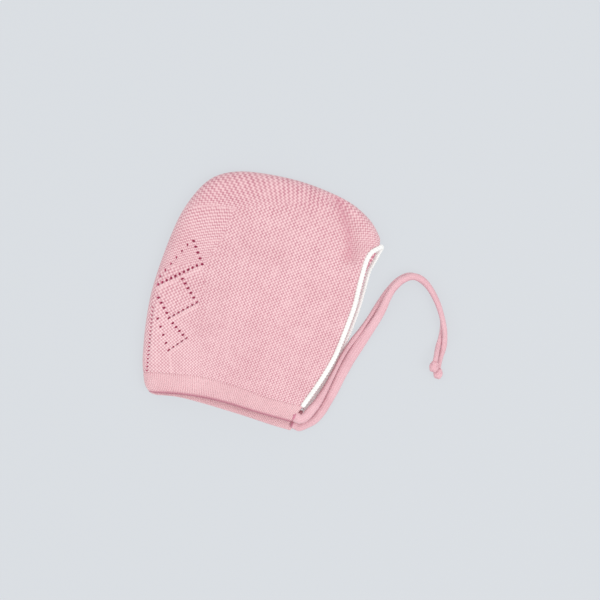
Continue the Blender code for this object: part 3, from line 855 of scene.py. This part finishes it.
# Stitch counts of a patch at points of the cloth, and back
def countsAt(patch, cloth):
    bend, first, shear = patchTerms(patch)
    away = cloth - patch["middle"]
    w = (np.exp(bend * (away[:, 0] + 1j * away[:, 1])) - 1) / bend * first
    return np.column_stack([w.real, w.imag]) @ shear.T


def placesAt(patch, counts):
    bend, first, shear = patchTerms(patch)
    plain = counts @ np.linalg.inv(shear).T
    z = np.log(1 + bend * (plain[:, 0] + 1j * plain[:, 1]) / first) / bend
    return np.column_stack([z.real, z.imag]) + patch["middle"]


def patchAt(cloth):
    which = np.zeros(len(cloth), int)
    for i, patch in enumerate(patches[1:], 1):
        which[insideOf(cloth, np.array(patch["outline"])) & (which == 0)] = i
    return which


def countsByPatch(cloth, which):
    counts = np.zeros((len(cloth), 3))
    for i, patch in enumerate(patches):
        mine = which == i
        counts[mine, :2] = countsAt(patch, cloth[mine])
    counts[:, 2] = leanAt(cloth)
    return counts


# A point on every half stitch of each patch
def latticeOver(polygon):
    found = []
    for i, patch in enumerate(patches):
        area = polygon if i == 0 else np.array(patch["outline"])
        low = np.maximum(area.min(0), polygon.min(0)) - stitches["margin"]
        high = np.minimum(area.max(0), polygon.max(0)) + stitches["margin"]
        sides = [np.linspace(low[k], high[k], 9) for k in (0, 1)]
        reach = countsAt(patch, np.array([(x, y) for x in sides[0] for y in sides[1]]))
        a, b = np.floor(reach.min(0)), np.ceil(reach.max(0))
        p, q = np.meshgrid(np.arange(a[0], b[0] + 0.5, 0.5), np.arange(a[1], b[1] + 0.5, 0.5))
        spots = placesAt(patch, np.column_stack([p.ravel(), q.ravel()]))
        spots = spots[insideOf(spots, polygon)]
        spots = spots[patchAt(spots) == i]
        for other in patches[1:]:
            ring = np.array(other["outline"] + other["outline"][:1])
            spots = spots[nearestOn(spots, ring)[0] > stitches["borderGap"]]
        found.append(spots)
    return np.vstack(found)


def coarseOver(polygon, step):
    low, high = polygon.min(0), polygon.max(0)
    x, y = np.meshgrid(np.arange(low[0], high[0], step), np.arange(low[1], high[1], step))
    x = x + (np.arange(len(x)) % 2)[:, None] * step / 2
    return np.column_stack([x.ravel(), y.ravel()])


# Plan outline of a layer, and how many of its points lie on the fold
def layerOutline(layer):
    step = stitches["edgeStep"]
    fold = evenly(planCurve(foldLine), step)
    seam = evenly(planCurve(edges[layer]["seam"]), step)[::-1]
    face = evenly(planCurve(edges[layer]["face"]), step)[::-1]
    return np.vstack([fold, seam[1:], face[1:-1]]), len(fold)


def foldNormals(fold):
    along = unit(np.gradient(fold, axis=0))
    return np.column_stack([along[:, 1], -along[:, 0]])


# Middle, length, width and turn of every eyelet of a layer
def eyeletSpots(layer):
    spots = []
    upper = layer == "upper"
    size = eyelets["upperSize" if upper else "lowerSize"]
    for start, end, count, long, short, turn in diamondRuns + ([backRun] if upper else []):
        a, b = inMetres([start, end])
        # the holes of the lower layer lie between those of the upper one
        shares = np.linspace(0, 1, count) if upper else (np.arange(count - 1) + 0.5) / (count - 1)
        for share in shares:
            spots.append((*(a + share * (b - a)), long * size, short * size, math.radians(turn)))
    return np.array(spots)


# The loop round each eyelet, on the flat cloth
def eyeletLoops(spots, upper):
    turn = np.arange(eyelets["points"]) / eyelets["points"] * math.tau
    loops = []
    for x, y, long, short, tilt in spots:
        ring = np.outer(np.cos(turn), (math.cos(tilt), math.sin(tilt))) * long / 2
        ring += np.outer(np.sin(turn), (-math.sin(tilt), math.cos(tilt))) * short / 2
        loops.append(planToCloth(np.array([(x, y)]) + ring, upper))
    return loops


# Points of the flat cloth, clear of its outline and of the middles of its eyelets
def clothPoints(outline, middles, fine):
    grid = latticeOver(outline) if fine else coarseOver(outline, stitches["wallStep"])
    grid = grid[insideOf(grid, outline)]
    clear = stitches["fineClear" if fine else "wallClear"]
    grid = grid[nearestOn(grid, np.vstack([outline, outline[:1]]))[0] > clear]
    away = np.linalg.norm(grid[:, None] - middles[None], axis=2).min(1)
    return grid[away > eyelets["clear"] + clear * 0.7]


# Triangles over the cloth: inside the outline, outside the eyelets and through the loose points
def triangulate(outline, loops, loose):
    points = [outline, *loops, loose]
    starts = np.cumsum([0] + [len(p) for p in points])
    borders = []
    for first, ring in zip(starts, points[:-1]):
        borders += [(first + i, first + (i + 1) % len(ring)) for i in range(len(ring))]
    flat = np.vstack(points)
    found = delaunay_2d_cdt([Vector(p * 1000) for p in flat], borders, [], 0, 1e-5)
    index = np.zeros(len(flat), int)
    for new, olds in enumerate(found[3]):
        for old in olds:
            index[old] = new
    cloth = np.array([v[:] for v in found[0]]) / 1000
    triangles = np.array([f[:] for f in found[2]])
    rings = [index[first:first + len(ring)] for first, ring in zip(starts, points[:-1])]
    owner = np.full(len(cloth), -1)
    for k, ring in enumerate(rings):
        owner[ring] = k
    owners = owner[triangles]
    same = (owners[:, 0] == owners[:, 1]) & (owners[:, 1] == owners[:, 2])
    drop = same & (owners[:, 0] > 0)
    suspect = np.flatnonzero(same & (owners[:, 0] == 0))
    drop[suspect[~insideOf(cloth[triangles[suspect]].mean(1), outline)]] = True
    return cloth, triangles[~drop], rings


# One layer of cloth: its points in space, its triangles and the loops that border it
def buildLayer(layer, fine):
    upper = layer == "upper"
    plan, foldCount = layerOutline(layer)
    outline = planToCloth(plan, upper)
    beyond = reachOf(upper) * clothTurn["extra"]
    outline[:foldCount] = plan[:foldCount] + foldNormals(plan[:foldCount]) * beyond
    spots = eyeletSpots(layer)
    loose = clothPoints(outline, planToCloth(spots[:, :2], upper), fine)
    cloth, triangles, rings = triangulate(outline, eyeletLoops(spots, upper), loose)
    surface = clothToSurface(cloth, plan, upper)
    edge = rings[0]
    surface[edge] = layerPoints(plan, upper)
    surface[edge[:foldCount]] = np.column_stack([plan[:foldCount], np.full(foldCount, hoodForm["fold"])])
    return {
        "cloth": cloth, "surface": surface, "triangles": triangles if upper else triangles[:, ::-1],
        "edge": edge, "foldCount": foldCount, "loops": rings[1:],
    }


# Both layers welded along the fold
def joinLayers(upper, lower):
    shift = len(upper["surface"])
    number = np.arange(len(lower["surface"])) + shift
    count = upper["foldCount"]
    number[lower["edge"][:count]] = upper["edge"][:count]
    keep = number >= shift
    newNumber = number.copy()
    newNumber[keep] = shift + np.arange(keep.sum())
    return {
        "verts": np.vstack([upper["surface"], lower["surface"][keep]]),
        "triangles": np.vstack([upper["triangles"], newNumber[lower["triangles"]]]),
        "cloth": np.vstack([upper["cloth"], lower["cloth"][keep]]),
        "cornerCloth": np.vstack([
            upper["cloth"][upper["triangles"]].reshape(-1, 2),
            lower["cloth"][lower["triangles"]].reshape(-1, 2),
        ]),
        "upperEdge": upper["edge"], "lowerEdge": newNumber[lower["edge"]], "foldCount": count,
        "loops": [*upper["loops"], *[newNumber[loop] for loop in lower["loops"]]],
    }


def vertexNormals(verts, triangles):
    a, b, c = (verts[triangles[:, i]] for i in range(3))
    normal = np.cross(b - a, c - a)
    total = np.zeros_like(verts)
    for i in range(3):
        np.add.at(total, triangles[:, i], normal)
    return unit(total)


# Height of each stitch: a bead on every one, each other one raised
def mossRelief(counts):
    beads = 0.26 * np.cos(math.tau * counts[:, 0]) + 0.24 * np.cos(math.tau * counts[:, 1])
    moss = np.cos(np.pi * counts[:, 0]) * np.cos(np.pi * counts[:, 1])
    slant = np.sin(np.pi * (counts[:, 0] - counts[:, 1])) * counts[:, 2]
    return stitches["bead"] * (beads - 0.1 + 1.2 * slant) + stitches["moss"] * moss


# The raised plain lines and the mitre, and, below 0, the painted shade of the crease
def formAt(plan):
    total = np.zeros(len(plan))
    for start, end, strength in ridgeLines:
        away = nearestOn(plan, inMetres([start, end]))[0]
        total = np.maximum(total, strength * bell(away, lineWidths["ridge"]))
    away = nearestOn(plan, np.array(mitreLine))[0]
    total = np.maximum(total, 0.5 * bell(away, lineWidths["mitre"]))
    return total - 0.9 * bell(nearestOn(plan, creaseCurve)[0], lineWidths["crease"])


# Walls between the outer and the inner face of the cloth, along its open edges and round its eyelets
def hoodWalls(outer, inner, shift):
    edgeWalls, eyeletWalls = [], []
    for key, flip in (("upperEdge", False), ("lowerEdge", True)):
        a, b = outer[key], inner[key] + shift
        for i in range(outer["foldCount"] - 1, len(a)):
            j = (i + 1) % len(a)
            quad = (a[i], b[i], b[j], a[j])
            edgeWalls.append(quad[::-1] if flip else quad)
    for a, b in zip(outer["loops"], inner["loops"]):
        for i in range(len(a)):
            j = (i + 1) % len(a)
            eyeletWalls.append((a[i], a[j], b[j] + shift, b[i] + shift))
    return edgeWalls, eyeletWalls


def buildHood(materials):
    outer = joinLayers(buildLayer("upper", True), buildLayer("lower", True))
    inner = joinLayers(buildLayer("upper", False), buildLayer("lower", False))
    print("hood triangles", len(outer["triangles"]), len(inner["triangles"]))
    relief = mossRelief(countsByPatch(outer["cloth"], patchAt(outer["cloth"])))
    form = formAt(outer["verts"][:, :2])
    ridge = np.maximum(form, 0)
    lift = relief * (1 - pinkKnit["ridgePlain"] * ridge) + stitches["ridge"] * ridge
    for ring in [outer["upperEdge"], outer["lowerEdge"], *outer["loops"]]:
        lift[ring] = stitches["border"]
    verts = outer["verts"] + vertexNormals(outer["verts"], outer["triangles"]) * lift[:, None]
    innerVerts = inner["verts"] - vertexNormals(inner["verts"], inner["triangles"]) * hoodForm["wall"]
    outside = [tuple(t) for t in outer["triangles"]]
    shadedInside = [tuple(t + len(verts)) for t in inner["triangles"][:, ::-1]]
    edgeWalls, eyeletWalls = hoodWalls(outer, inner, len(verts))
    faces = [*outside, *shadedInside, *edgeWalls, *eyeletWalls]
    faceMaterial = np.repeat([0, 1, 0, 1], [len(outside), len(shadedInside), len(edgeWalls), len(eyeletWalls)])
    cornerCloth = outer["cornerCloth"]
    patchOfCorner = np.repeat(patchAt(cornerCloth.reshape(-1, 3, 2).mean(1)), 3)
    plainCorners = len(shadedInside) * 3 + (len(edgeWalls) + len(eyeletWalls)) * 4
    stitch = np.vstack([countsByPatch(cornerCloth, patchOfCorner), np.zeros((plainCorners, 3))])
    faceEdges = np.vstack([planCurve(edges[layer]["face"])[::6] for layer in ("upper", "lower")])
    away = np.linalg.norm(inner["verts"][:, None, :2] - faceEdges[None], axis=2).min(1)
    # On the inner faces the mask marks the mouth, where their painted shade gives way to the plain pink
    masks = {"form": np.concatenate([form, bell(away, stitches["mouth"])])}
    piece = makePiece(
        "knittedHood", np.vstack([verts, innerVerts]), faces, [materials["moss"], materials["shadedInside"]],
        stitch, masks, faceMaterial,
    )
    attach(piece, "root")
    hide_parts("hood")


# The ribbed neck band
band = {
    "ribPitch": 0.0012, "perRib": 4, "rows": 20, "lipRows": 4, "innerRows": 6,
    "wall": 0.0022, "relief": 0.00022, "stitch": 0.00135, "tuck": 0.0007, "ahead": 0.0026,
    "depth": 0.0118, "underSeam": (-0.0006, -0.0002), "lipOut": 0.35, "napeReach": 0.004,
    # The hem width and the shade terms set painted shade on the near band: a dark line along its lower edge
    # and darker grooves just above it
    "seamAt": 0.0009, "seamWidth": 0.0006, "hemShadeWidth": 0.0009,
    "shadeAbove": 0.001, "shadeWidth": 0.0028, "shade": 0.45,
}


def bandTop(layer):
    line = inMetres(edges[layer]["seam"])
    line[0] = line[0] + unit(line[0] - line[1]) * band["ahead"]
    line[:, 1] += band["tuck"]
    return smoothCurve(line)


# One layer of the band, column by column from the face to the nape and round its fold
def bandHalf(layer):
    upper = layer == "upper"
    top, hem = bandTop(layer), planCurve(edges[layer]["hem"])
    reach = reachOf(upper)
    length = (lengthsAlong(top)[-1] + lengthsAlong(hem)[-1]) / 2
    clothLength = length + reach * clothTurn["extra"]
    columns = round(clothLength / band["ribPitch"]) * band["perRib"]
    fromNape = np.linspace(clothLength, 0, columns + 1) - reach * clothTurn["extra"]
    angle = angleAt(fromNape, reach)
    fromNape = np.where(fromNape >= reach, fromNape, reach * (1 - np.cos(angle)))
    shares = 1 - fromNape / length
    rows = np.linspace(0, 1, band["rows"])[:, None]
    nape = atShares(planCurve(napeLine), rows[:, 0])
    aboves, belows = atShares(top, shares), atShares(hem, shares)
    planes = []
    for share, above, below in zip(shares, aboves, belows):
        straight = above + rows * (below - above)
        lean = max(share, 0) ** 6
        planes.append(straight + lean * (nape - (nape[0] + rows * (nape[-1] - nape[0]))))
    plan = np.array(planes)
    distance = nearestOn(plan.reshape(-1, 2), wholeFold)[0].reshape(plan.shape[:2])
    near = bell(fromNape, band["napeReach"])[:, None]
    distance = near * fromNape[:, None] + (1 - near) * distance
    angle = np.arccos(1 - np.clip(distance / reach, 0, 1)).ravel()
    height = heightAt(plan.reshape(-1, 2), angle, upper).reshape(plan.shape[:2])
    return np.dstack([plan, height])


def buildBand(materials):
    upper, lower = bandHalf("upper"), bandHalf("lower")
    sheet = np.concatenate([upper, lower[-2::-1]])
    columns, rows = sheet.shape[:2]
    down = np.gradient(sheet, axis=1)
    normal = unit(np.cross(np.gradient(sheet, axis=0), down))
    ribs = np.arange(columns) / band["perRib"]
    depth = np.linspace(0, band["depth"], rows)
    ribWave = np.cos(math.tau * ribs)[:, None]
    stitchWave = np.cos(math.tau * depth / band["stitch"])[None, :]
    relief = band["relief"] * (ribWave + 0.3 * stitchWave * (0.5 + 0.5 * ribWave))
    relief[:, :2] = band["underSeam"]
    wall = band["wall"]
    inset = sheet - normal * wall / 2
    lip = []
    for angle in np.radians(np.linspace(30, 150, band["lipRows"])):
        reach = unit(down[:, -1]) * math.sin(angle) * wall * band["lipOut"]
        spot = inset[:, -1] + normal[:, -1] * (wall / 2 * math.cos(angle)) + reach
        lip.append(spot + normal[:, -1] * relief[:, -1:] * math.cos(angle))
    innerRows = np.linspace(rows - 1, 0, band["innerRows"]).round().astype(int)
    within = sheet[:, innerRows] - normal[:, innerRows] * (wall + relief[:, innerRows, None] * 0.6)
    loop = np.concatenate([sheet + normal * relief[..., None], np.stack(lip, axis=1), within], axis=1)
    around = loop.shape[1]
    downCounts = np.concatenate([
        depth / band["stitch"], np.linspace(0.1, 0.6, band["lipRows"]) + depth[-1] / band["stitch"],
        depth[innerRows] / band["stitch"],
    ])
    faces, stitch = [], []
    for i in range(columns - 1):
        for j in range(around):
            k = (j + 1) % around
            faces.append((i * around + j, (i + 1) * around + j, (i + 1) * around + k, i * around + k))
            stitch += [
                (ribs[i], downCounts[j]), (ribs[i + 1], downCounts[j]),
                (ribs[i + 1], downCounts[k]), (ribs[i], downCounts[k]),
            ]
    for i, flip in ((0, False), (columns - 1, True)):
        cap = [i * around + j for j in range(around)]
        faces.append(tuple(cap[::-1] if flip else cap))
        stitch += [(ribs[i], 0)] * around
    # Painted shade on the near band: a dark line at its hem, full on its lip and inner face, and darker
    # grooves just above the hem
    fromSeam = np.concatenate([depth, np.ones(around - rows)])
    hem = bell(fromSeam - depth[-1], band["hemShadeWidth"])
    hem[rows:] = 1
    shade = band["shade"] * bell(fromSeam - depth[-1] + band["shadeAbove"], band["shadeWidth"])
    isNear = (np.arange(columns) < len(upper))[:, None]
    seam = bell(fromSeam - band["seamAt"], band["seamWidth"]) + shade * isNear
    masks = {"seam": seam.ravel(), "hem": (isNear * hem).ravel()}
    halfStitch = (0.5, 0)
    piece = makePiece(
        "ribBand", loop.reshape(-1, 3), faces, [materials["rib"]], np.array(stitch) + halfStitch, masks,
    )
    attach(piece, "root")
    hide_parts("neck_band")
    print("band", columns, around)


# The white edging round the face
edging = {
    "radius": 0.00162, "farRadius": 0.0013, "gap": 0.0002, "wall": 0.0022, "step": 0.00032,
    "around": 26, "bead": 0.0021, "relief": 0.00036, "dash": 0.0019, "farLift": 0.0012,
    "roundEnd": 0.0012, "turnLength": 0.012, "edgeStep": 0.0015, "beadTurns": 4,
}
# Painted shade along one side of the edging, broken into dashes between its stitches: the angle round it,
# its spread, the steady part and the dashes
edgingShade = {"near": (8, 30, 0.252, 0.168), "far": (15, 30, 0.10, 0.5)}


# From the near neck corner over the crown to the far neck corner
def edgingLine():
    halves = []
    for layer in ("upper", "lower"):
        upper = layer == "upper"
        edge = evenly(planCurve(edges[layer]["face"]), edging["edgeStep"])
        along = unit(np.gradient(edge, axis=0))
        outward = np.column_stack([-along[:, 1], along[:, 0]])
        radius = edging["radius"] if upper else edging["farRadius"]
        beside = edge + outward * (radius + edging["gap"])
        height = layerPoints(edge, upper)[:, 2] + (-1 if upper else 1) * edging["wall"] / 2
        towardNeck = np.clip((np.linspace(0, 1, len(edge)) - 0.5) / 0.2, 0, 1)
        lift = 0 if upper else edging["farLift"] * towardNeck
        halves.append(np.column_stack([beside, np.maximum(height, radius) + lift]))
    upper, lower = halves[0][::-1], halves[1]
    turn = [(upper[-1] + lower[0]) / 2]
    return np.vstack([upper[:-2], turn, lower[2:]])


def buildEdging(materials):
    line = evenly(smoothCurve(edgingLine()[::2], 8), edging["step"])
    along = lengthsAlong(line)
    around = edging["around"]
    full = roundedEnds(along, edging["roundEnd"], edging["roundEnd"])
    far = np.clip((along - line[:, 1].argmax() * edging["step"]) / edging["turnLength"], 0, 1)
    radius = edging["radius"] + (edging["farRadius"] - edging["radius"]) * far

    def profile(i, angles):
        beads = 0.5 + 0.5 * np.cos(math.tau * along[i] / edging["bead"] + 2 * angles)
        reach = (radius[i] - edging["relief"] * 0.6 + edging["relief"] * beads ** 0.7) * full[i]
        return reach * np.cos(angles), reach * np.sin(angles)

    faces, turns, ringOf = tubeFaces(len(line), around)
    stitch = np.column_stack([turns * edging["beadTurns"], along[ringOf] / edging["bead"] * 2])
    degrees = np.mod(np.arange(around) / around * 360 + 180, 360) - 180
    dashes = (0.5 + 0.5 * np.cos(math.tau * along / edging["dash"]))[:, None]
    # Painted shade along one side of the edging, steady and in dashes
    sideShade = {}
    for side, (angle, spread, steady, dashed) in edgingShade.items():
        sideShade[side] = bell(degrees - angle, spread) * (steady + dashed * dashes)
    hem = far[:, None] * sideShade["far"] + (1 - far[:, None]) * sideShade["near"]
    piece = makePiece(
        "faceEdging", tubeMesh(line, profile, around), faces, [materials["edging"]], stitch,
        {"hem": hem.ravel()},
    )
    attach(piece, "root")
    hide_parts("face_trim")
    print("edging", len(line) * around)


# Floor and light
studio = {
    "floorSize": 8.0, "floorZ": -0.0002, "floorGlow": (0.590, 0.616, 0.645, 1.0),
    "floorColour": (0.10, 0.104, 0.11, 1.0), "floorGrain": (0.09, 0.094, 0.10, 1.0), "grainShare": 0.03,
    "world": (1.0, 0.985, 0.975, 1.0), "worldStrength": 0.78, "lightsAim": (0.03, 0.0, 0.0),
}


def buildFloor():
    half = studio["floorSize"] / 2
    corners = [(-half, -half), (half, -half), (half, half), (-half, half)]
    mesh = bpy.data.meshes.new("floor")
    mesh.from_pydata([(x, y, studio["floorZ"]) for x, y in corners], [], [(0, 1, 2, 3)])
    material, tree, shader = newMaterial("paleFloor")
    grain = place(tree, "ShaderNodeTexNoise", {"Scale": 300.0, "Detail": 2.0}).outputs["Fac"]
    grain = times(tree, grain, studio["grainShare"])
    tone = mixColour(tree, grain, studio["floorColour"], studio["floorGrain"])
    tree.links.new(tone, shader.inputs["Base Color"])
    shader.inputs["Roughness"].default_value = 0.95
    shader.inputs["Specular IOR Level"].default_value = 0.1
    shader.inputs["Emission Color"].default_value = studio["floorGlow"]
    shader.inputs["Emission Strength"].default_value = 1.0
    mesh.materials.append(material)
    floor = bpy.data.objects.new("floor", mesh)
    bpy.context.collection.objects.link(floor)


softLights = {
    "keyLight": {"at": (0.95, -0.25, 1.45), "size": 1.0, "power": 10.0, "colour": (1.0, 0.99, 0.98)},
    "fillLight": {"at": (-0.95, 0.2, 1.35), "size": 1.4, "power": 5.0, "colour": (0.98, 0.99, 1.0)},
}


def buildLights():
    for name, light in softLights.items():
        data = bpy.data.lights.new(name, "AREA")
        data.size = light["size"]
        data.energy = light["power"]
        data.color = light["colour"]
        thing = bpy.data.objects.new(name, data)
        bpy.context.collection.objects.link(thing)
        thing.location = light["at"]
        aim = Vector(studio["lightsAim"]) - thing.location
        thing.rotation_euler = aim.to_track_quat("-Z", "Y").to_euler()
    world = bpy.data.worlds.new("studio")
    world.use_nodes = True
    back = world.node_tree.nodes["Background"]
    back.inputs["Color"].default_value = studio["world"]
    back.inputs["Strength"].default_value = studio["worldStrength"]
    bpy.context.scene.world = world
    bpy.context.scene.view_settings.view_transform = "Standard"


buildCamera()
materials = buildMaterials()
print("materials made")
buildTies(materials["tie"])
buildHood(materials)
buildBand(materials)
buildEdging(materials)
buildFloor()
buildLights()
